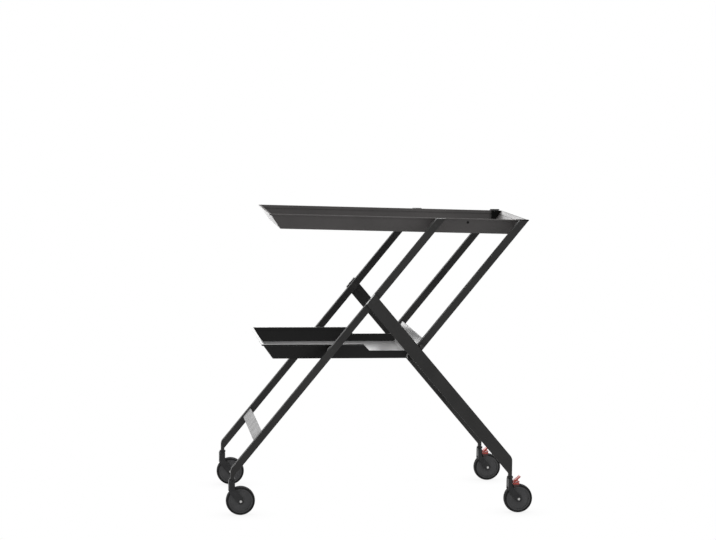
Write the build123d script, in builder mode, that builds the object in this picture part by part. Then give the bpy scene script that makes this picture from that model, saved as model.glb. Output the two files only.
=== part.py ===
"""Folding serving cart: two pressed trays carried by a crossed-leg frame on four casters.

The long legs, two links and both trays form a parallelogram. The wide legs cross the long legs
on one pivot, and hold the cart open against studs on the links.
Frame: +X points to the braked end, -Y is the right-hand side, +Z is up and the floor is Z = 0.
"""

import os
from math import cos, hypot, radians, sin, tan

from build123d import *

os.makedirs("parts", exist_ok=True)

# Driving dimensions, in millimetres and degrees

# Casters
wheel_base = 720.0
wheel_diameter = 75.0
wheel_width = 22.0
tyre_thickness = 6.0
tread_crown = 2.0
core_rim_thickness = 4.0
core_rim_width = 19.0
core_web = 15.0
hub_diameter = 17.0
caster_trail = 21.5
collar_diameter = 16.0
collar_height = 5.0
fork_post_back = 9.0
fork_post_front = 6.5
braked_post_back = 6.0
braked_post_front = 4.4
fork_arm_top = 70.0
fork_arm_depth = 9.0
fork_cheek = 3.0
fork_boss_radius = 8.0
fork_shoulder_radius = 6.0
fork_side_gap = 1.0
fork_roof_gap = 3.0
fork_height = 95.0
axle_diameter = 4.5
axle_head_diameter = 6.4
axle_head_height = 1.2
stem_diameter = 6.0
stem_in_fork = 13.0
stem_in_sleeve = 20.0

# Brake pedals, on the two casters of the +X end
pedal_pivot_forward = 9.0
pedal_pivot_height = 79.5
pedal_barrel_radius = 3.6
pedal_width = 15.0
pedal_pad_width = 19.0
pedal_pad_length = 9.0
pedal_lever_reach = 22.5
pedal_lever_angle = 43.0
pedal_tip_thickness = 2.0
pedal_prong_from_pivot = 9.0
pedal_prong_reach = 9.0
pedal_prong_angle = -28.0
pedal_prong_thickness = 2.2
pedal_shoe_clearance = 2.3
pedal_shoe_thickness = 2.6
pedal_shoe_past_top = 2.0
pedal_shoe_behind_top = 30.0
pedal_flange_reach = 7.0
pedal_flange_gap = 0.8
pedal_flange_thickness = 1.2
pedal_pin_diameter = 3.0
pedal_lug = 7.0
pedal_lug_radius = 3.2
pedal_lug_gap = 1.0

# Long legs and links, one square tube
bar_width = 18.0
bar_wall = 1.5
bar_corner = 2.5
leg_angle = 50.9
long_leg_foot = 110.7
long_leg_above_pivot = 18.0
link_spacing = 219.3
link_above_pivot = 15.5
link_tail = 11.0
cap_thickness = 1.5

# Wide legs, one flat tube
wide_leg_width = 12.0
wide_leg_depth = 33.7
wide_leg_wall = 1.5
wide_leg_corner = 2.5
wide_leg_angle = 49.5
wide_leg_foot = 122.9
wide_leg_head = 11.0

# Caster sleeves at the feet of the legs
sleeve_width = 9.0
sleeve_corner = 2.0
sleeve_bend = 22.0

# Cross plates between the legs
cross_plate_width = 31.5
cross_plate_thickness = 4.0
cross_plate_corner = 1.0
long_plate_from_crossing = 453.6
wide_plate_from_crossing = 400.0

# Trays
tray_width = 352.0
tray_height = 38.5
side_flare = 12.0
end_flare = 28.0
tray_corner = 4.0
sheet = 1.2
hem_width = 8.0
rim_roll_out = 2.0
rim_roll_height = 4.0
rim_roll_radius = 1.6
upper_pivot_height = 745.0
lower_pivot_height = 424.0
top_tray_length = 667.8
top_tray_behind_pivot = 422.3
top_rim_above_pivot = 18.4
top_tray_fall = 1.15
lower_rim_above_pivot = 13.0
lower_tray_behind_pivot = 178.5
lower_floor_ahead_of_pivot = 212.0
handle_height = 54.1
handle_flare = 25.0
step_ahead_of_pivot = 82.0
step_run = 16.0
step_drop = 17.4
hand_slot_length = 290.0
hand_slot_height = 22.0
hand_slot_below_top = 17.5
corner_block_length = 25.0
corner_block_depth = 14.0

# Pivot brackets on the tray walls
ear_thickness = 11.5
boss_radius = 8.5
end_bracket_tail = 24.0

# Pivot pins, studs and rivets
pin_diameter = 8.0
pin_head_diameter = 11.0
pin_head_height = 1.2
crossing_pin_diameter = 10.0
crossing_head_diameter = 18.0
washer_diameter = 24.0
washer_thickness = 1.0
stop_stud_diameter = 10.0
wall_rivet_diameter = 6.0
wall_rivet_height = 1.2
wall_rivet_below_rim = 10.2
wall_rivet_ahead_of_pivot = 89.0

# Clearances
running_gap = 0.08
seat_gap = 0.03
side_gap = 0.5
face_gap = 0.3
open_pivot_gap = 0.3

# Layers across the cart, as distances from its middle plane
tray_half = tray_width / 2
ear_outside = tray_half + ear_thickness
bar_inside = ear_outside + side_gap
bar_middle = bar_inside + bar_width / 2
bar_outside = bar_inside + bar_width
wide_inside = bar_outside + washer_thickness
wide_middle = wide_inside + wide_leg_width / 2
wide_outside = wide_inside + wide_leg_width

# Casters along the cart
wheel_radius = wheel_diameter / 2
rear_stem_x = -wheel_base / 2 - caster_trail
front_stem_x = wheel_base / 2 - caster_trail

# Leg lines in the side view
leg_slope = tan(radians(leg_angle))
wide_slope = tan(radians(wide_leg_angle))
leg_run = Vector(cos(radians(leg_angle)), sin(radians(leg_angle)))
leg_normal = Vector(-leg_run.Y, leg_run.X)
wide_run = Vector(cos(radians(wide_leg_angle)), -sin(radians(wide_leg_angle)))
wide_normal = Vector(-wide_run.Y, wide_run.X)
crossing_x = (
    front_stem_x * wide_slope + rear_stem_x * leg_slope + wide_leg_foot - long_leg_foot
) / (leg_slope + wide_slope)
crossing = Vector(crossing_x, long_leg_foot + (crossing_x - rear_stem_x) * leg_slope)

# Pivots of the parallelogram in the side view
upper_leg_pivot = crossing + leg_run * ((upper_pivot_height - crossing.Y) / leg_run.Y)
lower_leg_pivot = crossing + leg_run * ((lower_pivot_height - crossing.Y) / leg_run.Y)
upper_link_pivot = upper_leg_pivot + Vector(link_spacing, 0)
lower_link_pivot = lower_leg_pivot + Vector(link_spacing, 0)

# A stud on each link meets the upper edge of the wide leg
stop_offset = wide_leg_depth / 2 + stop_stud_diameter / 2 + face_gap
stop_along = (stop_offset - (lower_link_pivot - crossing).dot(wide_normal)) / leg_run.dot(wide_normal)
stop_stud_at = lower_link_pivot + leg_run * stop_along

# Tops of the bars
long_leg_top = upper_pivot_height + long_leg_above_pivot
link_top = upper_pivot_height + link_above_pivot

# Tray frames: origin on the rim's level above the leg pivot, X along the tray
top_fall = radians(top_tray_fall)
top_plane = Plane(
    origin=(upper_leg_pivot.X, 0, upper_pivot_height + top_rim_above_pivot),
    x_dir=(cos(top_fall), 0, -sin(top_fall)),
    z_dir=(sin(top_fall), 0, cos(top_fall)),
)
lower_plane = Plane(
    origin=(lower_leg_pivot.X, 0, lower_pivot_height + lower_rim_above_pivot),
    x_dir=(1, 0, 0),
    z_dir=(0, 0, 1),
)


def save(piece, name):
    """Label a finished piece and write it to its own file."""
    piece.label = name
    export_step(piece, f"parts/{name}.step")


def upright(y, frame=Plane.XY):
    """Upright plane at y across the cart, X to the right and Z up in the given frame, facing -Y."""
    return Plane(origin=frame.origin + Vector(0, y, 0), x_dir=frame.x_dir, z_dir=(0, -1, 0))


def in_frame(point, frame):
    """Side-view point in a tray's own X and Z."""
    local = frame.to_local_coords(Vector(point.X, 0, point.Y))
    return Vector(local.X, local.Z)


def mirrored(piece):
    """The left-hand twin of a right-hand piece."""
    with BuildPart() as twin:
        mirror(piece, about=Plane.XZ)
    return twin.part


def with_twin(piece):
    """A right-hand piece and its left-hand twin as one group."""
    with BuildPart() as pair:
        add(piece)
        mirror(piece, about=Plane.XZ)
    return pair.part


def bar_between(axis, width, depth, corner, wall, ends):
    """Bar along the axis plane's normal, hollow where a wall is given, cut at its end planes."""
    with BuildPart() as bar:
        with BuildSketch(axis):
            RectangleRounded(width, depth, corner)
            if wall:
                RectangleRounded(width - 2 * wall, depth - 2 * wall, corner - wall, mode=Mode.SUBTRACT)
        extrude(amount=long_leg_top + wheel_base, both=True)
        for end in ends:
            split(bisect_by=end, keep=Keep.BOTTOM)
    return bar.part


def stepped_pin(at, steps):
    """Round pin across the cart on the right-hand side, from (diameter, inner y, outer y) steps."""
    with BuildPart() as pin:
        for diameter, inner, outer in steps:
            with BuildSketch(upright(-inner)):
                with Locations((at.X, at.Y)):
                    Circle(diameter / 2)
            extrude(amount=outer - inner)
    return pin.part


def facing(point, direction):
    """Cutting plane square to the side view, through a side-view point, facing a direction."""
    return Plane(origin=(point.X, 0, point.Y), x_dir=(0, 1, 0), z_dir=(direction.X, 0, direction.Y))


def capped_ends(end, direction):
    """End planes of a tube, and of the cap that closes it, where both end at one cut."""
    inner = end - direction * cap_thickness
    return facing(inner, direction), [facing(end, direction), facing(inner, direction * -1)]


def bar_axis(point, direction, y):
    """Plane square to a bar that runs through a side-view point."""
    return Plane(origin=(point.X, -y, point.Y), x_dir=(0, 1, 0), z_dir=(direction.X, 0, direction.Y))


def cross_plate(middle, along, half_length):
    """Flat bar across the cart, with its width along a leg."""
    edge = Plane(origin=(middle.X, half_length, middle.Y), x_dir=(along.X, 0, along.Y), z_dir=(0, -1, 0))
    with BuildPart() as plate:
        with BuildSketch(edge):
            RectangleRounded(cross_plate_width, cross_plate_thickness, cross_plate_corner)
        extrude(amount=2 * half_length)
    return plate.part


def pivot_hole(at, diameter, inner, outer):
    """Cutter for a pivot hole across the cart on the right-hand side."""
    return stepped_pin(at, [(diameter, inner, outer)])


up = Vector(0, 1)
forward = Vector(1, 0)

# Long legs: square tubes from the caster sleeves to the top tray, closed by a level cap
long_axis = bar_axis(crossing, leg_run, bar_middle)
long_foot_cut = facing(Vector(rear_stem_x + sleeve_width / 2, 0), forward * -1)
long_top_cut, long_cap_ends = capped_ends(Vector(0, long_leg_top), up)
with BuildPart() as long_leg:
    add(bar_between(long_axis, bar_width, bar_width, bar_corner, bar_wall, [long_foot_cut, long_top_cut]))
    for pivot in (upper_leg_pivot, lower_leg_pivot):
        add(pivot_hole(pivot, pin_diameter + 2 * seat_gap, bar_inside, bar_outside), mode=Mode.SUBTRACT)
    add(
        pivot_hole(crossing, crossing_pin_diameter + 2 * seat_gap, bar_inside, bar_outside),
        mode=Mode.SUBTRACT,
    )
save(long_leg.part, "long_leg_right")
save(mirrored(long_leg.part), "long_leg_left")
long_leg_cap = bar_between(long_axis, bar_width, bar_width, bar_corner, 0, long_cap_ends)
save(with_twin(long_leg_cap), "long_leg_caps")
plate_lift = bar_width / 2 - bar_corner - cross_plate_thickness / 2
long_plate_middle = crossing - leg_run * long_plate_from_crossing + leg_normal * plate_lift
save(cross_plate(long_plate_middle, leg_run, bar_inside), "long_leg_cross_plate")

# Wide legs: flat tubes outside the long legs, their heads cut along the long legs
wide_axis = bar_axis(crossing, wide_run, wide_middle)
wide_foot_cut = facing(Vector(front_stem_x - sleeve_width / 2, 0), forward)
wide_top_cut, wide_cap_ends = capped_ends(crossing + leg_normal * wide_leg_head, leg_normal)
with BuildPart() as wide_leg:
    add(
        bar_between(
            wide_axis,
            wide_leg_width,
            wide_leg_depth,
            wide_leg_corner,
            wide_leg_wall,
            [wide_foot_cut, wide_top_cut],
        )
    )
    add(
        pivot_hole(crossing, crossing_pin_diameter + 2 * running_gap, wide_inside, wide_outside),
        mode=Mode.SUBTRACT,
    )
save(wide_leg.part, "wide_leg_right")
save(mirrored(wide_leg.part), "wide_leg_left")
wide_leg_cap = bar_between(wide_axis, wide_leg_width, wide_leg_depth, wide_leg_corner, 0, wide_cap_ends)
save(with_twin(wide_leg_cap), "wide_leg_caps")
wide_plate_middle = crossing + wide_run * wide_plate_from_crossing
save(cross_plate(wide_plate_middle, wide_run, wide_inside), "wide_leg_cross_plate")


def sleeve(stem_x, y, depth, slope, rise):
    """Upright socket at a leg's foot, bored for a stem, its top bent into the leg's upper edge."""
    near_x = stem_x - sleeve_width / 2
    far_x = stem_x + sleeve_width / 2
    with BuildPart() as socket:
        with BuildSketch(upright(-y + depth / 2)):
            with BuildLine():
                Polyline(
                    (near_x, fork_height + face_gap),
                    (far_x, fork_height + face_gap),
                    (far_x, crossing.Y + rise + (far_x - crossing.X) * slope),
                    (near_x, crossing.Y + rise + (near_x - crossing.X) * slope),
                    close=True,
                )
            make_face()
        extrude(amount=depth)
        free_side = Axis.X if slope > 0 else -Axis.X
        free_face = socket.faces().filter_by(Axis.X).sort_by(free_side)[0]
        fillet(free_face.edges().filter_by(Axis.Y).sort_by(Axis.Z)[-1], sleeve_bend)
        fillet(socket.edges().filter_by(Axis.Z).sort_by(free_side)[:2], sleeve_corner)
        with BuildSketch(Plane.XY.offset(fork_height + face_gap)):
            with Locations((stem_x, -y)):
                Circle(stem_diameter / 2 + seat_gap)
        extrude(amount=stem_in_sleeve, mode=Mode.SUBTRACT)
    return socket.part


long_rise = bar_width / 2 / leg_run.X
wide_rise = wide_leg_depth / 2 / wide_run.X
rear_sleeve = sleeve(rear_stem_x, bar_middle, bar_width, leg_slope, long_rise)
front_sleeve = sleeve(front_stem_x, wide_middle, wide_leg_width, -wide_slope, wide_rise)
save(with_twin(rear_sleeve), "long_leg_sleeves")
save(with_twin(front_sleeve), "wide_leg_sleeves")

# Links: the same square tube, from the top tray down to the end of the lower tray
link_axis = bar_axis(lower_link_pivot, leg_run, bar_middle)
link_top_cut, link_top_cap_ends = capped_ends(Vector(0, link_top), up)
link_tail_at = lower_link_pivot - up * link_tail
link_tail_cut, link_tail_cap_ends = capped_ends(link_tail_at, up * -1)
with BuildPart() as link:
    add(bar_between(link_axis, bar_width, bar_width, bar_corner, bar_wall, [link_tail_cut, link_top_cut]))
    add(
        pivot_hole(upper_link_pivot, pin_diameter + 2 * running_gap, bar_inside, bar_outside),
        mode=Mode.SUBTRACT,
    )
    add(
        pivot_hole(lower_link_pivot, pin_diameter + 2 * open_pivot_gap, bar_inside, bar_outside),
        mode=Mode.SUBTRACT,
    )
save(link.part, "link_right")
save(mirrored(link.part), "link_left")
with BuildPart() as link_caps:
    for cap_ends in (link_top_cap_ends, link_tail_cap_ends):
        add(bar_between(link_axis, bar_width, bar_width, bar_corner, 0, cap_ends))
save(link_caps.part, "link_caps_right")
save(mirrored(link_caps.part), "link_caps_left")
link_stop = stepped_pin(stop_stud_at, [(stop_stud_diameter, bar_outside, wide_outside)])
save(link_stop, "link_stop_right")
save(mirrored(link_stop), "link_stop_left")


def flared_solid(frame, low, high):
    """Solid between two level rectangles, each given as (z, x from, x to, half width, corner)."""
    with BuildPart() as solid:
        for z, from_x, to_x, half_width, corner in (low, high):
            with BuildSketch(frame.offset(z)):
                with Locations(((from_x + to_x) / 2, 0)):
                    RectangleRounded(to_x - from_x, 2 * half_width, corner)
        loft(ruled=True)
    return solid.part


side_lean = side_flare / tray_height
end_lean = end_flare / tray_height
handle_lean = handle_flare / handle_height
handle_top = handle_height - tray_height


def drawn_in(z, inset, lean):
    """How far a leaning wall stands in at z from its rim, with a wall thickness measured square."""
    return inset * hypot(1, lean) - z * lean


def top_section(z, inset):
    """Level section of the top tray at z, drawn in from its outer face by a wall thickness."""
    end_in = drawn_in(z, inset, end_lean)
    return (
        z,
        end_in - top_tray_behind_pivot,
        top_tray_length - top_tray_behind_pivot - end_in,
        tray_half - drawn_in(z, inset, side_lean),
        tray_corner,
    )


def lower_section(z, inset):
    """Level section of the lower tray at z from its rim, with the handle's lean at the +X end."""
    return (
        z,
        drawn_in(z, inset, end_lean) - lower_tray_behind_pivot,
        lower_floor_ahead_of_pivot - drawn_in(z + tray_height, inset, handle_lean),
        tray_half - drawn_in(z, inset, side_lean),
        tray_corner,
    )


def rim_roll(frame, from_x, to_x):
    """Rounded band that is rolled outwards along a rim, solid across the tray."""
    with BuildPart() as band:
        with BuildSketch(frame.offset(-rim_roll_height)):
            with Locations(((from_x + to_x) / 2, 0)):
                RectangleRounded(
                    to_x - from_x + 2 * rim_roll_out,
                    tray_width + 2 * rim_roll_out,
                    tray_corner + rim_roll_out,
                )
        extrude(amount=rim_roll_height)
        level_faces = band.faces().sort_by(Axis.Z)
        fillet(level_faces[0].edges() + level_faces[-1].edges(), rim_roll_radius)
    return band.part


# Top tray: one pressed sheet with flared walls, a hem inside the rim and a roll outside it
with BuildPart() as top_tray:
    add(flared_solid(top_plane, top_section(-tray_height, 0), top_section(0, 0)))
    add(rim_roll(top_plane, -top_tray_behind_pivot, top_tray_length - top_tray_behind_pivot))
    add(
        flared_solid(top_plane, top_section(sheet - tray_height, sheet), top_section(-hem_width, sheet)),
        mode=Mode.SUBTRACT,
    )
    add(
        flared_solid(top_plane, top_section(-hem_width, 2 * sheet), top_section(sheet, 2 * sheet)),
        mode=Mode.SUBTRACT,
    )
save(top_tray.part, "top_tray")

# Corner blocks: upright pads that stand in the top tray's +X corners, behind the link pivots
block_end = top_tray_length - top_tray_behind_pivot - drawn_in(0, 2 * sheet, end_lean)
block_face = tray_half - drawn_in(0, 2 * sheet, side_lean) - corner_block_depth
with BuildPart() as corner_block:
    add(flared_solid(top_plane, top_section(sheet - tray_height, 2 * sheet), top_section(0, 2 * sheet)))
    with BuildSketch(top_plane.offset(-tray_height)):
        with Locations((block_end - corner_block_length, -block_face)):
            Rectangle(2 * corner_block_length, tray_width, align=(Align.MIN, Align.MAX))
    extrude(amount=tray_height, mode=Mode.INTERSECT)
save(with_twin(corner_block.part), "top_tray_corner_blocks")

# Lower tray: the same sheet, with its side walls stepped down and its end wall raised as a handle
notch_half = tray_half - step_drop * side_lean
step_end = step_ahead_of_pivot + step_run
end_zone = lower_floor_ahead_of_pivot - tray_corner
above = handle_top + 2 * sheet
outside = 2 * lower_tray_behind_pivot
with BuildPart() as lower_tray:
    add(flared_solid(lower_plane, lower_section(-tray_height, 0), lower_section(handle_top, 0)))
    add(rim_roll(lower_plane, -lower_tray_behind_pivot, step_end))
    add(
        flared_solid(
            lower_plane, lower_section(sheet - tray_height, sheet), lower_section(-hem_width, sheet)
        ),
        mode=Mode.SUBTRACT,
    )
    add(
        flared_solid(lower_plane, lower_section(-hem_width, 2 * sheet), lower_section(above, 2 * sheet)),
        mode=Mode.SUBTRACT,
    )
    with BuildSketch(upright(tray_width, lower_plane)):
        with BuildLine():
            Polyline(
                (-outside, 0),
                (step_ahead_of_pivot, 0),
                (step_end, -step_drop),
                (end_zone, -step_drop),
                (end_zone, above),
                (-outside, above),
                close=True,
            )
        make_face()
    extrude(amount=2 * tray_width, mode=Mode.SUBTRACT)
    for side in (-1, 1):
        with BuildSketch(lower_plane.offset(-step_drop)):
            with Locations((end_zone + outside / 2, side * (notch_half + tray_half))):
                Rectangle(outside, 2 * tray_half)
        extrude(amount=above + step_drop, mode=Mode.SUBTRACT)
    with BuildSketch(Plane(origin=lower_plane.origin, x_dir=(0, 1, 0), z_dir=(1, 0, 0))):
        with Locations((0, handle_top - hand_slot_below_top - hand_slot_height / 2)):
            SlotOverall(hand_slot_length, hand_slot_height)
    extrude(amount=outside + lower_floor_ahead_of_pivot, mode=Mode.SUBTRACT)
save(lower_tray.part, "lower_tray")


def wall_face(frame, along, below_rim):
    """Plane on the outer face of a tray's right wall, facing out, at a place along and below the rim."""
    out = Vector(0, -tray_height, -side_flare).normalized()
    return Plane(
        origin=frame.from_local_coords(Vector(along, below_rim * side_lean - tray_half, -below_rim)),
        x_dir=frame.x_dir,
        z_dir=frame.from_local_coords(out) - frame.origin,
    )


def bracket(frame, pivot, hole_gap, tail):
    """Pivot boss that stands on a tray's right wall, with its tail along the bar that it carries."""
    at = in_frame(pivot, frame)
    tail_middle = at - leg_run * (tail / 2)
    outer_face = upright(-ear_outside, frame)
    with BuildPart() as boss:
        with BuildSketch(outer_face):
            with Locations((tail_middle.X, tail_middle.Y)):
                SlotCenterToCenter(tail, 2 * boss_radius, rotation=leg_angle)
        extrude(amount=-ear_thickness - side_flare)
        split(bisect_by=wall_face(frame, at.X, 0), keep=Keep.TOP)
        with BuildSketch(outer_face):
            with Locations((at.X, at.Y)):
                Circle(pin_diameter / 2 + hole_gap)
        extrude(amount=-ear_thickness, mode=Mode.SUBTRACT)
        with BuildSketch(outer_face.offset(-ear_thickness)):
            with Locations((at.X, at.Y)):
                Circle(pin_head_diameter / 2 + face_gap)
        extrude(amount=-side_flare, mode=Mode.SUBTRACT)
    return boss.part


round_boss_tail = boss_radius / 2
top_leg_bracket = bracket(top_plane, upper_leg_pivot, running_gap, round_boss_tail)
top_link_bracket = bracket(top_plane, upper_link_pivot, seat_gap, round_boss_tail)
with BuildPart() as top_tray_brackets:
    for piece in (top_leg_bracket, top_link_bracket):
        add(piece)
        mirror(piece, about=Plane.XZ)
save(top_tray_brackets.part, "top_tray_brackets")

lower_leg_bracket = bracket(lower_plane, lower_leg_pivot, running_gap, round_boss_tail)
lower_link_bracket = bracket(lower_plane, lower_link_pivot, seat_gap, end_bracket_tail)
with BuildPart() as lower_tray_brackets:
    for piece in (lower_leg_bracket, lower_link_bracket):
        add(piece)
        mirror(piece, about=Plane.XZ)
save(lower_tray_brackets.part, "lower_tray_brackets")

# Pivot pins: a flat head inside the boss, and a shank through boss and bar that ends flush
leg_pin_steps = [
    (pin_head_diameter, tray_half - face_gap - pin_head_height, tray_half - face_gap),
    (pin_diameter, tray_half - face_gap, bar_outside),
]
link_pin_steps = [
    (pin_head_diameter, tray_half - pin_head_height, tray_half),
    (pin_diameter, tray_half, bar_outside),
]
save(with_twin(stepped_pin(upper_leg_pivot, leg_pin_steps)), "top_tray_leg_pins")
save(with_twin(stepped_pin(lower_leg_pivot, leg_pin_steps)), "lower_tray_leg_pins")
save(with_twin(stepped_pin(upper_link_pivot, link_pin_steps)), "top_tray_link_pins")
save(with_twin(stepped_pin(lower_link_pivot, link_pin_steps)), "lower_tray_link_pins")
crossing_steps = [
    (crossing_head_diameter, bar_inside - pin_head_height, bar_inside),
    (crossing_pin_diameter, bar_inside, wide_outside),
]
save(with_twin(stepped_pin(crossing, crossing_steps)), "crossing_pins")
with BuildPart() as crossing_washer:
    with BuildSketch(upright(-bar_outside)):
        with Locations((crossing.X, crossing.Y)):
            Circle(washer_diameter / 2)
            Circle(crossing_pin_diameter / 2 + running_gap, mode=Mode.SUBTRACT)
    extrude(amount=washer_thickness)
save(with_twin(crossing_washer.part), "crossing_washers")

# Rivet heads on the top tray's side walls, square to the leaning sheet
with BuildPart() as wall_rivet:
    with BuildSketch(wall_face(top_plane, wall_rivet_ahead_of_pivot, wall_rivet_below_rim)):
        Circle(wall_rivet_diameter / 2)
    extrude(amount=wall_rivet_height)
save(with_twin(wall_rivet.part), "top_tray_rivets")

# Caster sizes that follow from the wheel
fork_slot = wheel_width + 2 * fork_side_gap
fork_width = fork_slot + 2 * fork_cheek
shoulder_z = fork_height - collar_height
core_radius = wheel_radius - tyre_thickness


def caster_stem(stem_x, y):
    """Stem that is fixed in its sleeve and carries the turning fork."""
    with BuildPart() as stem:
        with BuildSketch(Plane.XY.offset(fork_height - stem_in_fork)):
            with Locations((stem_x, y)):
                Circle(stem_diameter / 2)
        extrude(amount=stem_in_fork + face_gap + stem_in_sleeve)
    return stem.part


def caster_fork(stem_x, y, braked):
    """Moulded fork: an upright post under its collar, and an arm down to the axle on each side."""
    axle_x = stem_x + caster_trail
    pedal_x = stem_x + pedal_pivot_forward
    post_back = braked_post_back if braked else fork_post_back
    post_front = braked_post_front if braked else fork_post_front
    post_width = post_back + post_front
    post_x = stem_x + (post_front - post_back) / 2
    with BuildPart() as fork:
        with BuildSketch(upright(y + fork_width / 2)):
            with Locations((post_x, (shoulder_z + fork_arm_top) / 2)):
                Rectangle(post_width, shoulder_z - fork_arm_top)
        extrude(amount=fork_width)
        shoulders = fork.faces().sort_by(Axis.Z)[-1].edges().filter_by(Axis.X)
        fillet(shoulders, fork_shoulder_radius)
        with BuildSketch(upright(y + fork_width / 2)):
            with Locations((post_x, fork_arm_top - fork_arm_depth / 2)):
                Rectangle(post_width, fork_arm_depth)
            with Locations((axle_x, wheel_radius)):
                Circle(fork_boss_radius)
            make_hull()
        extrude(amount=fork_width)
        with BuildSketch(Plane.XY.offset(shoulder_z)):
            with Locations((stem_x, y)):
                Circle(collar_diameter / 2)
        extrude(amount=collar_height)
        if braked:
            with BuildSketch(upright(y + pedal_lug / 2)):
                with Locations((pedal_x, pedal_pivot_height)):
                    Circle(pedal_lug_radius)
                with Locations((stem_x + post_front / 2, pedal_pivot_height)):
                    Rectangle(post_front, 2 * pedal_lug_radius)
                make_hull()
            extrude(amount=pedal_lug)
            with BuildSketch(upright(y + pedal_lug / 2)):
                with Locations((pedal_x, pedal_pivot_height)):
                    Circle(pedal_pin_diameter / 2 + seat_gap)
            extrude(amount=pedal_lug, mode=Mode.SUBTRACT)
        with BuildSketch(upright(y + fork_slot / 2)):
            with Locations((axle_x, wheel_radius)):
                Circle(wheel_radius + fork_roof_gap)
        extrude(amount=fork_slot, mode=Mode.SUBTRACT)
        with BuildSketch(Plane.XY.offset(fork_height - stem_in_fork)):
            with Locations((stem_x, y)):
                Circle(stem_diameter / 2 + running_gap)
        extrude(amount=stem_in_fork, mode=Mode.SUBTRACT)
        with BuildSketch(upright(y + fork_width / 2)):
            with Locations((axle_x, wheel_radius)):
                Circle(axle_diameter / 2 + seat_gap)
        extrude(amount=fork_width, mode=Mode.SUBTRACT)
    return fork.part


def caster_axle(stem_x, y):
    """Riveted axle through both cheeks, with a round head on each side."""
    ends = fork_width / 2
    with BuildPart() as axle:
        for diameter, reach_in, reach_out in (
            (axle_head_diameter, -ends - axle_head_height, -ends),
            (axle_diameter, -ends, ends),
            (axle_head_diameter, ends, ends + axle_head_height),
        ):
            with BuildSketch(upright(y - reach_in)):
                with Locations((stem_x + caster_trail, wheel_radius)):
                    Circle(diameter / 2)
            extrude(amount=reach_out - reach_in)
    return axle.part


def wheel_frame(stem_x, y):
    """Half section of a wheel: across the cart along X of the sketch, outwards along Y."""
    return Plane(origin=(stem_x + caster_trail, y, wheel_radius), x_dir=(0, 1, 0), z_dir=(1, 0, 0))


def wheel_core(stem_x, y):
    """Spoke-less wheel centre: hub, thin web and rim."""
    frame = wheel_frame(stem_x, y)
    with BuildPart() as core:
        with BuildSketch(frame):
            for width, from_radius, to_radius in (
                (wheel_width, axle_diameter / 2 + running_gap, hub_diameter / 2),
                (core_web, axle_diameter / 2 + running_gap, core_radius),
                (core_rim_width, core_radius - core_rim_thickness, core_radius),
            ):
                with Locations((0, (from_radius + to_radius) / 2)):
                    Rectangle(width, to_radius - from_radius)
        revolve(axis=Axis(frame.origin, (0, 1, 0)))
    return core.part


def tyre(stem_x, y):
    """Tyre with a crowned tread."""
    frame = wheel_frame(stem_x, y)
    half = wheel_width / 2
    shoulder = wheel_radius - tread_crown
    inner = core_radius + seat_gap
    with BuildPart() as ring:
        with BuildSketch(frame):
            with BuildLine():
                Polyline((-half, shoulder), (-half, inner), (half, inner), (half, shoulder))
                ThreePointArc((half, shoulder), (0, wheel_radius), (-half, shoulder))
            make_face()
        revolve(axis=Axis(frame.origin, (0, 1, 0)))
    return ring.part


def brake_pedal(stem_x, y):
    """Pedal: a toe lever that rises to its pad, a short prong under it and a saddle over the tread."""
    pivot = Vector(stem_x + pedal_pivot_forward, pedal_pivot_height)
    axle = Vector(stem_x + caster_trail, wheel_radius)
    lever = Vector(1, 0).rotate(Axis.Z, pedal_lever_angle)
    tip = pivot + lever * pedal_lever_reach
    prong = Vector(pedal_prong_reach / 2, 0).rotate(Axis.Z, pedal_prong_angle)
    prong_middle = pivot + lever * pedal_prong_from_pivot + prong
    pad_middle = tip - lever * ((pedal_pad_length - pedal_tip_thickness) / 2)
    shoe_radius = wheel_radius + pedal_shoe_clearance
    saddle_inside = wheel_width + 2 * pedal_flange_gap
    saddle_width = saddle_inside + 2 * pedal_flange_thickness
    slot_width = pedal_lug + 2 * face_gap
    slot_radius = pedal_lug_radius + pedal_lug_gap
    side = upright(y + pedal_width / 2)
    with BuildPart() as pedal:
        with BuildSketch(upright(y + saddle_width / 2)):
            with Locations((axle.X, axle.Y)):
                Circle(shoe_radius + pedal_shoe_thickness)
                Circle(shoe_radius - pedal_flange_reach, mode=Mode.SUBTRACT)
            with BuildLine():
                Polyline(
                    (axle.X, axle.Y),
                    (axle.X - pedal_shoe_behind_top, axle.Y + 2 * wheel_radius),
                    (axle.X + pedal_shoe_past_top, axle.Y + 2 * wheel_radius),
                    close=True,
                )
            make_face(mode=Mode.INTERSECT)
        extrude(amount=saddle_width)
        with BuildSketch(upright(y + saddle_inside / 2)):
            with Locations((axle.X, axle.Y)):
                Circle(shoe_radius)
        extrude(amount=saddle_inside, mode=Mode.SUBTRACT)
        with BuildSketch(side):
            with Locations((pivot.X, pivot.Y)):
                Circle(pedal_barrel_radius)
            with Locations((tip.X, tip.Y)):
                Circle(pedal_tip_thickness / 2)
            make_hull()
            with Locations((prong_middle.X, prong_middle.Y)):
                SlotCenterToCenter(pedal_prong_reach, pedal_prong_thickness, rotation=pedal_prong_angle)
        extrude(amount=pedal_width)
        with BuildSketch(upright(y + pedal_pad_width / 2)):
            with Locations((pad_middle.X, pad_middle.Y)):
                SlotOverall(pedal_pad_length, pedal_tip_thickness, rotation=pedal_lever_angle)
        extrude(amount=pedal_pad_width)
        with BuildSketch(upright(y + slot_width / 2)):
            with Locations((pivot.X, pivot.Y)):
                Circle(slot_radius)
                Rectangle(pedal_pivot_forward, 2 * slot_radius, align=(Align.MAX, Align.CENTER))
        extrude(amount=slot_width, mode=Mode.SUBTRACT)
        with BuildSketch(side):
            with Locations((pivot.X, pivot.Y)):
                Circle(pedal_pin_diameter / 2 + running_gap)
        extrude(amount=pedal_width, mode=Mode.SUBTRACT)
    return pedal.part


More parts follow.
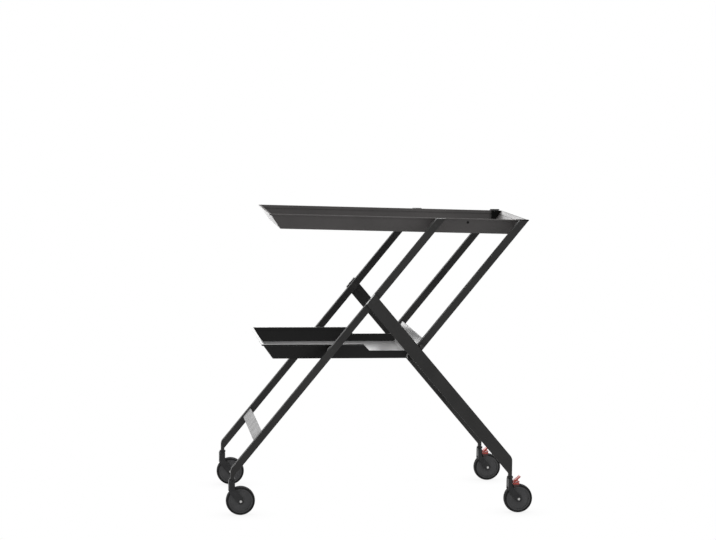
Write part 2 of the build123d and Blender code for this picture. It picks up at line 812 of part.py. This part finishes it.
def brake_pin(stem_x, y):
    """Pin through the fork's lug that carries a pedal on both sides of it."""
    with BuildPart() as pin:
        with BuildSketch(upright(y + pedal_width / 2)):
            with Locations((stem_x + pedal_pivot_forward, pedal_pivot_height)):
                Circle(pedal_pin_diameter / 2)
        extrude(amount=pedal_width)
    return pin.part


for end_name, stem_x, caster_y, braked in (
    ("rear", rear_stem_x, bar_middle, False),
    ("front", front_stem_x, wide_middle, True),
):
    for side_name, side in (("right", -1), ("left", 1)):
        place = f"{end_name}_{side_name}"
        y = side * caster_y
        save(caster_stem(stem_x, y), f"caster_stem_{place}")
        save(caster_fork(stem_x, y, braked), f"caster_fork_{place}")
        save(caster_axle(stem_x, y), f"axle_{place}")
        save(wheel_core(stem_x, y), f"wheel_core_{place}")
        save(tyre(stem_x, y), f"tyre_{place}")
        if braked:
            save(brake_pedal(stem_x, y), f"brake_pedal_{place}")
            save(brake_pin(stem_x, y), f"brake_pin_{place}")
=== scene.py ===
import math

import bmesh
import bpy
from bpy.props import FloatProperty, FloatVectorProperty, PointerProperty
from mathutils import Matrix, Vector


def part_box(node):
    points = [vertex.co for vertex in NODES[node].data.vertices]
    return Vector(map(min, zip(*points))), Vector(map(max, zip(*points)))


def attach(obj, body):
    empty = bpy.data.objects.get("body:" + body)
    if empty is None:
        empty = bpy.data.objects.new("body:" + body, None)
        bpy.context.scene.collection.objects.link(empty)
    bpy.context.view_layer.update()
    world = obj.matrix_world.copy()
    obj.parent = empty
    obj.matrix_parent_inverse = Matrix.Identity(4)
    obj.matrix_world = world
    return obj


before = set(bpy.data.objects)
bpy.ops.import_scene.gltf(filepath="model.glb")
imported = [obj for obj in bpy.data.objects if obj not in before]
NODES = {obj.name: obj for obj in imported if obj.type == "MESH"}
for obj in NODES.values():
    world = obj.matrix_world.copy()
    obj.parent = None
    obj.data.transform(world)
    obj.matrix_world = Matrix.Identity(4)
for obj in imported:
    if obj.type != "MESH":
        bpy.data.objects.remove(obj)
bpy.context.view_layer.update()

bl_info = {
    "name": "Folding serving cart finish",
    "version": (1, 0, 0),
    "blender": (4, 5, 0),
    "location": "View3D > Sidebar > Cart",
    "description": "Paints, hardware and studio stage for the folding serving cart",
    "category": "Object",
}

CORNERS = ("rear_right", "rear_left", "front_right", "front_left")
BRAKED = ("front_right", "front_left")
# Each side of the cart, with its direction along Y
SIDES = {"right": -1, "left": 1}

# Noise mostly stays in this range, so patterns are spread from it
NOISE_LOW = 0.3
NOISE_HIGH = 0.7

TYRE_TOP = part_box("tyre_front_right")[1].z
# Painted shade: a pedal is darkened fully below the first of these heights and left clear above the
# second
PEDAL_SHADE_FULL_Z = TYRE_TOP - 0.0005
PEDAL_SHADE_CLEAR_Z = TYRE_TOP + 0.0018

# Lamps look at this point, a little above the middle of the cart
LAMP_AIM = Vector((0.0, 0.0, 0.5))

# Width of the camera's sensor, in millimetres
SENSOR_WIDTH = 36.0


class CartPaint(bpy.types.PropertyGroup):
    """Colours and gloss of the painted sheet and tube."""

    # Painted light: the top tray's black is made lighter for the light from above
    top_tray_lit_colour: FloatVectorProperty(
        name="Top tray paint, painted light",
        description="Black paint of the top tray, painted lighter for the light from above",
        subtype="COLOR",
        size=3,
        min=0.0,
        max=1.0,
        default=(0.098, 0.0928, 0.092),
    )
    # Painted shade: the lower tray's black is made far darker for the shade under the top tray
    shelf_shaded_colour: FloatVectorProperty(
        name="Lower tray paint, painted shade",
        description="Black paint of the lower tray, painted darker for the shade under the top tray",
        subtype="COLOR",
        size=3,
        min=0.0,
        max=1.0,
        default=(0.0045, 0.0044, 0.0043),
    )
    # Painted reflection: the lighter grey of the lower tray's floor, with rubbed marks in it
    floor_marks_and_reflection_colour: FloatVectorProperty(
        name="Floor marks and painted reflection",
        description="Grey of the lower tray's floor, a painted reflection with rubbed marks",
        subtype="COLOR",
        size=3,
        min=0.0,
        max=1.0,
        default=(0.07, 0.07, 0.07),
    )
    frame_colour: FloatVectorProperty(
        name="Frame paint",
        description="Black paint of the legs, links and plates",
        subtype="COLOR",
        size=3,
        min=0.0,
        max=1.0,
        default=(0.049, 0.0485, 0.048),
    )
    roughness: FloatProperty(
        name="Paint roughness",
        description="How far the paint scatters its reflections",
        subtype="FACTOR",
        min=0.0,
        max=1.0,
        default=0.32,
    )


class CartWeld(bpy.types.PropertyGroup):
    """Weld beads between the cross plates and the legs."""

    bead_leg: FloatProperty(
        name="Bead leg",
        description="How far a weld bead reaches along the plate and along the leg",
        subtype="DISTANCE",
        unit="LENGTH",
        min=0.0005,
        default=0.0022,
    )
    ripple_pitch: FloatProperty(
        name="Ripple pitch",
        description="Distance between the ripples of a weld bead",
        subtype="DISTANCE",
        unit="LENGTH",
        min=0.0005,
        default=0.0026,
    )


class CartCaster(bpy.types.PropertyGroup):
    """Colours of the casters."""

    fork_colour: FloatVectorProperty(
        name="Fork plastic",
        description="Dark grey plastic of forks and wheel centres",
        subtype="COLOR",
        size=3,
        min=0.0,
        max=1.0,
        default=(0.028, 0.028, 0.029),
    )
    tyre_colour: FloatVectorProperty(
        name="Tyre rubber",
        description="Dark rubber of the treads",
        subtype="COLOR",
        size=3,
        min=0.0,
        max=1.0,
        default=(0.010, 0.010, 0.0103),
    )
    steel_colour: FloatVectorProperty(
        name="Plated steel",
        description="Steel of the axles, stems and brake pins",
        subtype="COLOR",
        size=3,
        min=0.0,
        max=1.0,
        default=(0.5, 0.495, 0.485),
    )
    pedal_colour: FloatVectorProperty(
        name="Brake pedal",
        description="Red plastic of the brake pedals",
        subtype="COLOR",
        size=3,
        min=0.0,
        max=1.0,
        default=(0.46, 0.062, 0.046),
    )
    # Darker red painted low on the brake pedals as shade between the fork's cheeks
    pedal_shade_colour: FloatVectorProperty(
        name="Pedal painted shade",
        description="Darker red painted low on the brake pedals as shade",
        subtype="COLOR",
        size=3,
        min=0.0,
        max=1.0,
        default=(0.03, 0.014, 0.013),
    )


class CartStage(bpy.types.PropertyGroup):
    """Camera, floor and light."""

    camera_place: FloatVectorProperty(
        name="Camera place",
        description="Where the camera stands",
        subtype="XYZ",
        unit="LENGTH",
        size=3,
        default=(-0.73784, -5.40305, 1.14119),
    )
    camera_yaw: FloatProperty(
        name="Camera yaw",
        description="Turn of the view towards the braked end",
        subtype="ANGLE",
        default=math.radians(7.375),
    )
    camera_pitch: FloatProperty(
        name="Camera pitch",
        description="How far the camera looks down",
        subtype="ANGLE",
        default=math.radians(5.557),
    )
    camera_roll: FloatProperty(
        name="Camera roll",
        description="Lean of the camera",
        subtype="ANGLE",
        default=math.radians(0.751),
    )
    camera_lens: FloatProperty(
        name="Lens",
        description="Focal length on a 36 mm wide sensor, in millimetres",
        unit="CAMERA",
        min=1.0,
        default=103.92,
    )
    lamp_power: FloatProperty(
        name="Overhead lamp",
        description="Power of the soft lamp above the cart, in watts",
        unit="POWER",
        min=0.0,
        default=22.0,
    )
    back_power: FloatProperty(
        name="Back lamp",
        description="Power of the soft lamp behind the cart, in watts",
        unit="POWER",
        min=0.0,
        default=110.0,
    )
    rim_power: FloatProperty(
        name="Top back lamp",
        description="Power of the lamp above and behind the cart, in watts",
        unit="POWER",
        min=0.0,
        default=48.0,
    )
    shadow_reach: FloatProperty(
        name="Shadow reach",
        description="How far from the wheels the floor is shaded",
        subtype="DISTANCE",
        unit="LENGTH",
        min=0.001,
        default=0.07,
    )
    shadow_level: FloatProperty(
        name="Shadow level",
        description="Brightness of the floor where it is fully covered",
        subtype="FACTOR",
        min=0.0,
        max=1.0,
        default=0.85,
    )
    fill_level: FloatProperty(
        name="Room light",
        description="Strength of the even light from all round, as a share of the white background's",
        subtype="FACTOR",
        min=0.0,
        max=1.0,
        default=0.62,
    )


def finish_shader(name, roughness, metallic=0.0, specular=0.5):
    """New material with its nodes and its surface shader."""
    material = bpy.data.materials.new(name)
    material.use_nodes = True
    tree = material.node_tree
    surface = tree.nodes["Principled BSDF"]
    surface.inputs["Roughness"].default_value = roughness
    surface.inputs["Metallic"].default_value = metallic
    surface.inputs["Specular IOR Level"].default_value = specular
    return material, tree, surface


def own_place(tree):
    """Coordinates that stay with the piece in every pose."""
    return tree.nodes.new("ShaderNodeTexCoord").outputs["Object"]


def mottle(tree, place, per_metre, detail=3.0):
    """Soft random pattern with so many spots to the metre, from 0 to 1."""
    noise = tree.nodes.new("ShaderNodeTexNoise")
    noise.inputs["Scale"].default_value = per_metre
    noise.inputs["Detail"].default_value = detail
    tree.links.new(place, noise.inputs["Vector"])
    return noise.outputs["Fac"]


def ranged(tree, value, start, end, low=0.0, high=1.0):
    """Value from start to end, spread over low to high and held there."""
    node = tree.nodes.new("ShaderNodeMapRange")
    node.inputs["From Min"].default_value = start
    node.inputs["From Max"].default_value = end
    node.inputs["To Min"].default_value = low
    node.inputs["To Max"].default_value = high
    tree.links.new(value, node.inputs["Value"])
    return node.outputs["Result"]


def spread(tree, noise, low=0.0, high=1.0):
    """Noise spread over low to high."""
    return ranged(tree, noise, NOISE_LOW, NOISE_HIGH, low, high)


def scaled(colour, share):
    """Colour made lighter or darker by a share."""
    return tuple(min(1.0, channel * share) for channel in colour)


def tinted(tree, share, colour, other):
    """Colour that turns into another by a share from 0 to 1."""
    node = tree.nodes.new("ShaderNodeMix")
    node.data_type = "RGBA"
    node.inputs["A"].default_value = (*colour, 1.0)
    node.inputs["B"].default_value = (*other, 1.0)
    tree.links.new(share, node.inputs["Factor"])
    return node.outputs["Result"]


def tinted_over(tree, share, under, other):
    """Colour from other nodes that turns into a plain one by a share from 0 to 1."""
    node = tree.nodes.new("ShaderNodeMix")
    node.data_type = "RGBA"
    node.inputs["B"].default_value = (*other, 1.0)
    tree.links.new(under, node.inputs["A"])
    tree.links.new(share, node.inputs["Factor"])
    return node.outputs["Result"]


def dulled(tree, share, gloss, dull):
    """Roughness that turns into a duller one by a share from 0 to 1."""
    node = tree.nodes.new("ShaderNodeMix")
    node.inputs["B"].default_value = dull
    tree.links.new(gloss, node.inputs["A"])
    tree.links.new(share, node.inputs["Factor"])
    return node.outputs["Result"]


def times(tree, first, second):
    """Product of two patterns."""
    node = tree.nodes.new("ShaderNodeMath")
    node.operation = "MULTIPLY"
    tree.links.new(first, node.inputs[0])
    tree.links.new(second, node.inputs[1])
    return node.outputs["Value"]


def cloudy(tree, place, colour, per_metre, swing):
    """Colour in soft clouds, darker and lighter by a share."""
    clouds = spread(tree, mottle(tree, place, per_metre))
    return tinted(tree, clouds, scaled(colour, 1.0 - swing), scaled(colour, 1.0 + swing))


def worn_edges(tree, radius, sharpness):
    """1 on the edges of the piece and 0 on its faces."""
    soft = tree.nodes.new("ShaderNodeBevel")
    soft.samples = 8
    soft.inputs["Radius"].default_value = radius
    true = tree.nodes.new("ShaderNodeNewGeometry")
    match = tree.nodes.new("ShaderNodeVectorMath")
    match.operation = "DOT_PRODUCT"
    tree.links.new(soft.outputs["Normal"], match.inputs[0])
    tree.links.new(true.outputs["Normal"], match.inputs[1])
    return ranged(tree, match.outputs["Value"], start=1.0, end=sharpness)


def own_direction(tree):
    """Direction of the piece's own faces at rest, as its shares along X, Y and Z."""
    split = tree.nodes.new("ShaderNodeSeparateXYZ")
    tree.links.new(tree.nodes.new("ShaderNodeTexCoord").outputs["Normal"], split.inputs["Vector"])
    return split.outputs


def facing_up(tree, start, end):
    """0 to 1 as faces turn from one upward share to another."""
    return ranged(tree, own_direction(tree)["Z"], start, end)


def side_wall_outside(tree):
    """1 on the outsides of a tray's side walls, which look sideways and down, and 0 elsewhere."""
    direction = own_direction(tree)
    squared = times(tree, direction["Y"], direction["Y"])
    sideways = ranged(tree, squared, start=0.1, end=0.3)
    down = ranged(tree, direction["Z"], start=-0.15, end=-0.4)
    return times(tree, sideways, down)


def below(tree, place, dark_z, clear_z):
    """1 under one height of the piece at rest and 0 over another."""
    split = tree.nodes.new("ShaderNodeSeparateXYZ")
    tree.links.new(place, split.inputs["Vector"])
    return ranged(tree, split.outputs["Z"], dark_z, clear_z, low=1.0, high=0.0)


def finish_surface(tree, surface, shade, gloss, grain, depth):
    """Give the surface its colour, its roughness and a grain to a depth in metres."""
    tree.links.new(shade, surface.inputs["Base Color"])
    tree.links.new(gloss, surface.inputs["Roughness"])
    bump = tree.nodes.new("ShaderNodeBump")
    bump.inputs["Strength"].default_value = 1.0
    bump.inputs["Distance"].default_value = depth
    tree.links.new(grain, bump.inputs["Height"])
    tree.links.new(bump.outputs["Normal"], surface.inputs["Normal"])


def floor_marks_and_painted_reflection(tree, place):
    """Lighter colour on faces that look straight up: a painted reflection over the whole floor, with
    rubbed marks in it.
    """
    marks = mottle(tree, place, per_metre=34.0, detail=6.0)
    rubbed = ranged(tree, marks, start=0.3, end=0.62, low=0.7)
    return times(tree, facing_up(tree, start=0.93, end=0.99), rubbed)


def black_paint(name, colour, roughness, specular, lightened=None, rim_dull=None, outside_dull=None):
    """Baked black paint with slight orange peel, cloudy gloss and pale worn edges.

    On a tray the floor can be painted a lighter colour, as a painted reflection with rubbed marks
    in it, and the rim and the outsides of the side walls can each have a roughness of their own.
    """
    material, tree, surface = finish_shader(name, roughness, specular=specular)
    place = own_place(tree)
    shade = cloudy(tree, place, colour, per_metre=9.0, swing=0.14)
    patches = ranged(tree, mottle(tree, place, per_metre=60.0), start=0.42, end=0.68)
    rubbed = times(tree, worn_edges(tree, radius=0.0009, sharpness=0.93), patches)
    shade = tinted_over(tree, rubbed, shade, scaled(colour, 1.2))
    if lightened is not None:
        # Painted reflection: faces that look straight up turn to the lighter colour, with rubbed marks
        shade = tinted_over(tree, floor_marks_and_painted_reflection(tree, place), shade, lightened)
        surface.inputs["Sheen Weight"].default_value = 1.0
        surface.inputs["Sheen Roughness"].default_value = 0.35
    clouds = mottle(tree, place, per_metre=26.0)
    gloss = spread(tree, clouds, low=roughness - 0.03, high=roughness + 0.04)
    if rim_dull is not None:
        gloss = dulled(tree, facing_up(tree, start=0.66, end=0.8), gloss, rim_dull)
    if outside_dull is not None:
        gloss = dulled(tree, side_wall_outside(tree), gloss, outside_dull)
    orange_peel = mottle(tree, place, per_metre=1100.0, detail=2.0)
    finish_surface(tree, surface, shade, gloss, orange_peel, depth=0.000003)
    return material


def moulded_plastic(name, colour, roughness, specular, painted_shade=None):
    """Moulded plastic with fine spark grain, paler rubbed edges and, on pedals, a painted shade low down
    near the tyre.
    """
    material, tree, surface = finish_shader(name, roughness, specular=specular)
    place = own_place(tree)
    shade = cloudy(tree, place, colour, per_metre=55.0, swing=0.2)
    patches = ranged(tree, mottle(tree, place, per_metre=140.0), start=0.4, end=0.65)
    rubbed = times(tree, worn_edges(tree, radius=0.0008, sharpness=0.9), patches)
    shade = tinted_over(tree, rubbed, shade, scaled(colour, 1.4))
    if painted_shade is not None:
        # Painted shade: the pedal turns darker below the tyre's top, where the fork shades it
        shade = tinted_over(tree, below(tree, place, PEDAL_SHADE_FULL_Z, PEDAL_SHADE_CLEAR_Z), shade, painted_shade)
    clouds = mottle(tree, place, per_metre=90.0)
    gloss = spread(tree, clouds, low=roughness - 0.07, high=roughness + 0.07)
    spark_grain = mottle(tree, place, per_metre=2600.0, detail=2.0)
    finish_surface(tree, surface, shade, gloss, spark_grain, depth=0.00005)
    return material


def dull_plastic(name, colour):
    """Plastic without gloss, much darker than the paint beside it."""
    return moulded_plastic(name, scaled(colour, 0.3), roughness=0.8, specular=0.0)


def tyre_rubber(name, colour):
    """Dull rubber with pale rubbed marks."""
    material, tree, surface = finish_shader(name, roughness=0.78, specular=0.2)
    place = own_place(tree)
    marks = mottle(tree, place, per_metre=160.0, detail=6.0)
    lightened = ranged(tree, marks, start=0.45, end=0.7, high=0.55)
    shade = tinted(tree, lightened, colour, scaled(colour, 1.9))
    gloss = spread(tree, mottle(tree, place, per_metre=70.0), low=0.68, high=0.88)
    pores = mottle(tree, place, per_metre=1500.0, detail=4.0)
    finish_surface(tree, surface, shade, gloss, pores, depth=0.00008)
    return material


def bright_steel(name, colour, roughness):
    """Plated steel with a fine grain and duller patches."""
    material, tree, surface = finish_shader(name, roughness, metallic=1.0)
    place = own_place(tree)
    patches = spread(tree, mottle(tree, place, per_metre=300.0))
    shade = tinted(tree, patches, colour, scaled(colour, 0.72))
    clouds = mottle(tree, place, per_metre=500.0, detail=5.0)
    gloss = spread(tree, clouds, low=roughness - 0.08, high=roughness + 0.12)
    grain = mottle(tree, place, per_metre=2200.0, detail=3.0)
    finish_surface(tree, surface, shade, gloss, grain, depth=0.00002)
    return material


def dress(material, *nodes):
    """Give CAD nodes their finish."""
    for node in nodes:
        NODES[node].data.materials.clear()
        NODES[node].data.materials.append(material)


class CART_OT_paint_trays(bpy.types.Operator):
    """Paint both trays and their pivot brackets, and finish the corner blocks and rivets"""

    bl_idname = "cart.paint_trays"
    bl_label = "Paint trays"

    def execute(self, context):
        paint = context.scene.cart_paint
        # Painted light and shade: the top tray gets a lighter copy of the black paint for the light from
        # above, the lower tray a far darker copy for the shade under the top tray
        top = black_paint(
            "top tray paint painted light",
            paint.top_tray_lit_colour,
            paint.roughness,
            specular=0.2,
            rim_dull=0.85,
            outside_dull=0.7,
        )
        shelf = black_paint(
            "lower tray paint painted shade",
            paint.shelf_shaded_colour,
            paint.roughness - 0.1,
            specular=0.17,
            lightened=paint.floor_marks_and_reflection_colour,
            outside_dull=0.7,
        )
        block = dull_plastic("corner block plastic", paint.frame_colour)
        dress(top, "top_tray", "top_tray_brackets")
        dress(block, "top_tray_corner_blocks", "top_tray_rivets")
        dress(shelf, "lower_tray", "lower_tray_brackets")
        return {"FINISHED"}


class CART_OT_paint_frame(bpy.types.Operator):
    """Paint the legs, links, cross plates and sleeves, and finish their end caps"""

    bl_idname = "cart.paint_frame"
    bl_label = "Paint frame"

    def execute(self, context):
        paint = context.scene.cart_paint
        colour = paint.frame_colour
        coat = black_paint("frame paint", colour, paint.roughness + 0.26, specular=0.07)
        plate = black_paint("plate paint", scaled(colour, 0.85), paint.roughness + 0.03, specular=0.07)
        cap = moulded_plastic("cap plastic", colour, roughness=0.6, specular=0.12)
        link_cap = dull_plastic("link cap plastic", colour)
        head = moulded_plastic("head cap plastic", colour, roughness=0.35, specular=0.3)
        for side in SIDES:
            dress(coat, f"long_leg_{side}", f"wide_leg_{side}", f"link_{side}")
            dress(link_cap, f"link_caps_{side}")
        dress(coat, "long_leg_sleeves", "wide_leg_sleeves")
        dress(plate, "long_leg_cross_plate", "wide_leg_cross_plate")
        dress(cap, "long_leg_caps")
        dress(head, "wide_leg_caps")
        return {"FINISHED"}


def end_outline(node, end):
    """Outline of a cross plate's end, on the left for 1 and on the right for -1, in order round it."""
    digits = 5
    flatness = 0.00002
    points = [NODES[node].matrix_world @ vertex.co for vertex in NODES[node].data.vertices]
    reach = max(end * point.y for point in points)
    at_end = [point for point in points if end * point.y > reach - flatness]
    rim = list({(round(point.x, digits), round(point.z, digits)): point for point in at_end}.values())
    middle = sum(rim, Vector()) / len(rim)
    return sorted(rim, key=lambda point: math.atan2(point.z - middle.z, point.x - middle.x))


def even_steps(outline, pitch):
    """Points at even steps along a closed outline, each with its outward direction."""
    fewest = 8
    runs = list(zip(outline, outline[1:] + outline[:1]))
    length = sum((end - start).length for start, end in runs)
    count = max(fewest, round(length / pitch))
    steps = []
    walked = 0.0
    for start, end in runs:
        run = (end - start).length
        along = (end - start).normalized()
        outward = Vector((along.z, 0.0, -along.x))
        while len(steps) < count and len(steps) * length / count < walked + run:
            steps.append((start + along * (len(steps) * length / count - walked), outward))
        walked += run
    return steps


def bead_section():
    """Section of a bead with legs of 1: a flattened round face, and a back sunk into both pieces."""
    sunk = -0.1
    flattened = 0.86
    section = [(sunk, sunk), (1.0, sunk)]
    for angle in (0, 20, 45, 70, 90):
        radius = flattened if 0 < angle < 90 else 1.0
        turn = math.radians(angle)
        section.append((radius * math.cos(turn), radius * math.sin(turn)))
    section.append((sunk, 1.0))
    return section


def weld_bead(name, outline, end, leg, pitch):
    """Rippled bead in the corner between a cross plate's end and a leg's side."""
    steps_per_ripple = 4
    ripple_depth = 0.08
    section = bead_section()
    inward = Vector((0.0, -end, 0.0))
    bead = bmesh.new()
    rings = []
    for number, (place, outward) in enumerate(even_steps(outline, pitch / steps_per_ripple)):
        wave = math.cos(2.0 * math.pi * number / steps_per_ripple)
        size = leg * (1.0 - ripple_depth + ripple_depth * wave)
        corners = [place + outward * (out * size) + inward * (up * size) for out, up in section]
        rings.append([bead.verts.new(corner) for corner in corners])
    for first, second in zip(rings, rings[1:] + rings[:1]):
        for corner in range(len(section)):
            following = (corner + 1) % len(section)
            bead.faces.new((first[corner], first[following], second[following], second[corner]))
    bmesh.ops.recalc_face_normals(bead, faces=bead.faces)
    mesh = bpy.data.meshes.new(name)
    bead.to_mesh(mesh)
    bead.free()
    mesh.shade_smooth()
    return bpy.data.objects.new(name, mesh)


class CART_OT_lay_welds(bpy.types.Operator):
    """Lay the weld beads where the cross plates meet the legs"""

    bl_idname = "cart.lay_welds"
    bl_label = "Lay welds"

    def execute(self, context):
        weld = context.scene.cart_weld
        coat = bpy.data.materials["frame paint"]
        for leg in ("long_leg", "wide_leg"):
            for side, end in SIDES.items():
                outline = end_outline(f"{leg}_cross_plate", end)
                name = f"{leg}_plate_weld_{side}"
                bead = weld_bead(name, outline, end, weld.bead_leg, weld.ripple_pitch)
                bead.data.materials.append(coat)
                context.scene.collection.objects.link(bead)
                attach(bead, f"{leg}_frame")
        return {"FINISHED"}


class CART_OT_fit_pivots(bpy.types.Operator):
    """Finish the pivot pins, washers and stop studs"""

    bl_idname = "cart.fit_pivots"
    bl_label = "Finish pivots"

    def execute(self, context):
        paint = context.scene.cart_paint
        dark = black_paint("pivot black", paint.frame_colour, paint.roughness + 0.04, specular=0.12)
        for tray in ("top_tray", "lower_tray"):
            dress(dark, f"{tray}_leg_pins", f"{tray}_link_pins")
        for side in SIDES:
            dress(dark, f"link_stop_{side}")
        dress(dark, "crossing_pins", "crossing_washers")
        return {"FINISHED"}


class CART_OT_fit_casters(bpy.types.Operator):
    """Finish the casters and their brake pedals"""

    bl_idname = "cart.fit_casters"
    bl_label = "Finish casters"

    def execute(self, context):
        caster = context.scene.cart_caster
        fork = moulded_plastic("fork plastic", caster.fork_colour, roughness=0.55, specular=0.2)
        centre_colour = scaled(caster.fork_colour, 1.8)
        centre = moulded_plastic("wheel centre plastic", centre_colour, roughness=0.5, specular=0.4)
        rubber = tyre_rubber("tyre rubber", caster.tyre_colour)
        steel = bright_steel("plated steel", caster.steel_colour, roughness=0.38)
        # The pedal plastic carries a painted shade low down near the tyre
        red = moulded_plastic(
            "pedal plastic",
            caster.pedal_colour,
            roughness=0.42,
            specular=0.4,
            painted_shade=caster.pedal_shade_colour,
        )
        for corner in CORNERS:
            dress(fork, f"caster_fork_{corner}")
            dress(centre, f"wheel_core_{corner}")
            dress(rubber, f"tyre_{corner}")
            dress(steel, f"axle_{corner}", f"caster_stem_{corner}")
        for corner in BRAKED:
            dress(red, f"brake_pedal_{corner}")
            dress(steel, f"brake_pin_{corner}")
        return {"FINISHED"}


def seen_directly(tree):
    """1 for what the camera sees by itself, in a mirror or through glass, and 0 for light on things."""
    path = tree.nodes.new("ShaderNodeLightPath")
    total = path.outputs["Is Camera Ray"]
    for ray in ("Is Glossy Ray", "Is Transmission Ray"):
        node = tree.nodes.new("ShaderNodeMath")
        node.operation = "MAXIMUM"
        tree.links.new(total, node.inputs[0])
        tree.links.new(path.outputs[ray], node.inputs[1])
        total = node.outputs["Value"]
    return total


def floor_finish(shadow_reach, shadow_level):
    """White floor for light and gloss, which the camera sees through apart from a painted shadow near the
    cart.
    """
    material, tree, surface = finish_shader("white floor", roughness=1.0, specular=0.0)
    surface.inputs["Base Color"].default_value = (0.6, 0.6, 0.6, 1.0)
    surface.inputs["Emission Color"].default_value = (0.5, 0.5, 0.5, 1.0)
    tree.links.new(seen_directly(tree), surface.inputs["Emission Strength"])
    # Painted shadow: for the camera the floor is clear, darkened where the cart is near it
    covered = tree.nodes.new("ShaderNodeAmbientOcclusion")
    covered.samples = 16
    covered.inputs["Distance"].default_value = shadow_reach
    shade = ranged(tree, covered.outputs["AO"], start=0.0, end=1.0, low=shadow_level)
    veil = tree.nodes.new("ShaderNodeBsdfTransparent")
    tree.links.new(shade, veil.inputs["Color"])
    seen = tree.nodes.new("ShaderNodeMixShader")
    tree.links.new(tree.nodes.new("ShaderNodeLightPath").outputs["Is Camera Ray"], seen.inputs[0])
    tree.links.new(surface.outputs["BSDF"], seen.inputs[1])
    tree.links.new(veil.outputs["BSDF"], seen.inputs[2])
    tree.links.new(seen.outputs["Shader"], tree.nodes["Material Output"].inputs["Surface"])
    return material


def add_floor(scene, shadow_reach, shadow_level):
    """Wide white floor with a painted shadow near the cart, which lets feet that swing below it show."""
    half = 30.0
    mesh = bpy.data.meshes.new("floor")
    corners = [(-half, -half, 0.0), (half, -half, 0.0), (half, half, 0.0), (-half, half, 0.0)]
    mesh.from_pydata(corners, [], [(0, 1, 2, 3)])
    mesh.materials.append(floor_finish(shadow_reach, shadow_level))
    floor = bpy.data.objects.new("floor", mesh)
    scene.collection.objects.link(floor)


def light_room(scene, level):
    """Even light from all round, and a white background."""
    world = bpy.data.worlds.new("white room")
    scene.world = world
    world.use_nodes = True
    tree = world.node_tree
    background = tree.nodes["Background"]
    background.inputs["Color"].default_value = (1.0, 1.0, 1.0, 1.0)
    strength = ranged(tree, seen_directly(tree), start=0.0, end=1.0, low=level)
    tree.links.new(strength, background.inputs["Strength"])


def hang_lamp(scene, name, place, size, power, mirrored):
    """Large soft lamp that looks at the cart, and shows in gloss only where it is mirrored."""
    lamp = bpy.data.lights.new(name, "AREA")
    lamp.shape = "RECTANGLE"
    lamp.size, lamp.size_y = size
    lamp.energy = power
    hung = bpy.data.objects.new(name, lamp)
    hung.location = place
    hung.rotation_euler = (LAMP_AIM - Vector(place)).to_track_quat("-Z", "Y").to_euler()
    hung.visible_camera = False
    hung.visible_glossy = mirrored
    scene.collection.objects.link(hung)


def place_camera(scene, stage):
    """Camera at the photograph's viewpoint."""
    data = bpy.data.cameras.new("camera")
    data.sensor_fit = "HORIZONTAL"
    data.sensor_width = SENSOR_WIDTH
    data.lens = stage.camera_lens
    data.clip_end = 100.0
    camera = bpy.data.objects.new("camera", data)
    scene.collection.objects.link(camera)
    yaw, pitch, roll = stage.camera_yaw, stage.camera_pitch, stage.camera_roll
    ahead = Vector((math.sin(yaw) * math.cos(pitch), math.cos(yaw) * math.cos(pitch), -math.sin(pitch)))
    level = Vector((math.cos(yaw), -math.sin(yaw), 0.0))
    rise = level.cross(ahead)
    across = level * math.cos(roll) + rise * math.sin(roll)
    upright = rise * math.cos(roll) - level * math.sin(roll)
    turn = Matrix((across, upright, -ahead)).transposed().to_4x4()
    camera.matrix_world = Matrix.Translation(Vector(stage.camera_place)) @ turn
    scene.camera = camera


class CART_OT_set_stage(bpy.types.Operator):
    """Set the floor, the studio light and the camera"""

    bl_idname = "cart.set_stage"
    bl_label = "Set stage"

    def execute(self, context):
        scene = context.scene
        stage = scene.cart_stage
        scene.view_settings.view_transform = "Standard"
        add_floor(scene, stage.shadow_reach, stage.shadow_level)
        light_room(scene, stage.fill_level)
        hang_lamp(
            scene,
            "overhead lamp",
            place=(0.0, 0.0, 3.4),
            size=(5.0, 5.0),
            power=stage.lamp_power,
            mirrored=False,
        )
        hang_lamp(
            scene,
            "back lamp",
            place=(0.0, 3.6, 1.5),
            size=(6.0, 3.0),
            power=stage.back_power,
            mirrored=True,
        )
        hang_lamp(
            scene,
            "top back lamp",
            place=(0.0, 1.6, 2.8),
            size=(3.0, 1.2),
            power=stage.rim_power,
            mirrored=True,
        )
        place_camera(scene, stage)
        return {"FINISHED"}


GROUPS = (
    ("cart_paint", CartPaint),
    ("cart_weld", CartWeld),
    ("cart_caster", CartCaster),
    ("cart_stage", CartStage),
)
OPERATORS = (
    CART_OT_paint_trays,
    CART_OT_paint_frame,
    CART_OT_lay_welds,
    CART_OT_fit_pivots,
    CART_OT_fit_casters,
    CART_OT_set_stage,
)


class CART_PT_sidebar(bpy.types.Panel):
    """Settings of the cart, and the steps that finish it, in order"""

    bl_idname = "CART_PT_sidebar"
    bl_label = "Serving cart"
    bl_space_type = "VIEW_3D"
    bl_region_type = "UI"
    bl_category = "Cart"

    def draw(self, context):
        for setting, _ in GROUPS:
            group = getattr(context.scene, setting)
            box = self.layout.box()
            for name in group.bl_rna.properties.keys():
                if name not in ("rna_type", "name"):
                    box.prop(group, name)
        for operator in OPERATORS:
            self.layout.operator(operator.bl_idname)


CLASSES = tuple(group for _, group in GROUPS) + OPERATORS + (CART_PT_sidebar,)


def register():
    """Add the settings, the steps and the sidebar to Blender."""
    for item in CLASSES:
        bpy.utils.register_class(item)
    for name, group in GROUPS:
        setattr(bpy.types.Scene, name, PointerProperty(type=group))


def unregister():
    """Take them out again, in the opposite order."""
    for name, _ in reversed(GROUPS):
        delattr(bpy.types.Scene, name)
    for item in reversed(CLASSES):
        bpy.utils.unregister_class(item)


def main():
    """Finish the cart step by step."""
    register()
    bpy.ops.cart.paint_trays()
    bpy.ops.cart.paint_frame()
    bpy.ops.cart.lay_welds()
    bpy.ops.cart.fit_pivots()
    bpy.ops.cart.fit_casters()
    bpy.ops.cart.set_stage()


if __name__ == "__main__":
    main()
